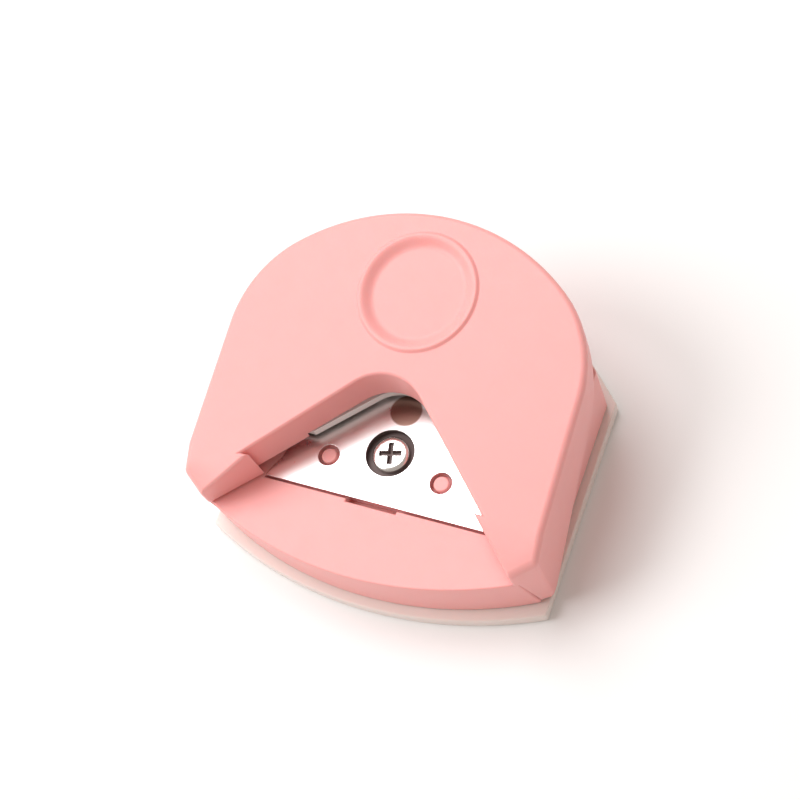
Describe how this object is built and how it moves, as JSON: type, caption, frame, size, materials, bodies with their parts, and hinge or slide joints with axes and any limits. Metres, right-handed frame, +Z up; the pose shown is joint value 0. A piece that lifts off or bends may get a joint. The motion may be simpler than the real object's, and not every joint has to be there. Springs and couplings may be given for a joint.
{
  "type": "corner rounder",
  "caption": "Palm-sized pink corner rounder: a hinged press cover with a V notch and thumb dish over steel cutting plates, with a pale scrap tray that opens below.",
  "frame": {"origin": "centre of the bottom face, on the centre line", "axes": "+Z up, +Y to the rear (thumb dish side), +X to the right of a user facing the notch's back"},
  "size_m": [0.054, 0.0521, 0.0247],
  "materials": {
    "pink_plastic": "satin",
    "pale_plastic": "satin",
    "plate_steel": "polished",
    "tool_steel": "ground",
    "screw_steel": "bright",
    "spring_steel": "drawn wire",
    "guide_plastic": "satin"
  },
  "bodies": {
    "base": {"base_housing": "pink_plastic", "tray_hinge_rod": "screw_steel", "die_plate": "plate_steel", "guide_plate": "plate_steel", "paper_stop_left": "tool_steel", "paper_stop_right": "tool_steel", "plate_rivet_left": "tool_steel", "plate_rivet_right": "tool_steel", "plate_screw": "screw_steel", "punch_guide": "guide_plastic", "guide_screw_left": "screw_steel", "guide_screw_right": "screw_steel", "cover_spring_left": "spring_steel", "cover_spring_right": "spring_steel", "hinge_pin_left": "screw_steel", "hinge_pin_right": "screw_steel"},
    "lever": {"press_cover": "pink_plastic"},
    "punch_set": {"punch": "tool_steel", "punch_cross_pin": "screw_steel"},
    "tray": {"scrap_tray": "pale_plastic"}
  },
  "joints": [
    {"name": "press_lever", "type": "hinge", "parent": "base", "child": "lever", "pos_m": [0, -0.015, 0.0068], "axis": [-1, 0, 0], "range_deg": [0, 4.2], "stiffness_Nm_per_rad": 0.4, "springref_deg": -6.88, "deforming": ["cover_spring_left", "cover_spring_right"]},
    {"name": "punch_stroke", "type": "slide", "parent": "base", "child": "punch_set", "axis": [0, 0, -1], "range_m": [0, 0.00163]},
    {"name": "tray_open", "type": "hinge", "parent": "base", "child": "tray", "pos_m": [0, 0.0202, 0.0013], "axis": [1, 0, 0], "range_deg": [0, 100]}
  ],
  "couplings": [
    {"joint": "punch_stroke", "follows": "press_lever", "m_per_rad": 0.02225}
  ]
}
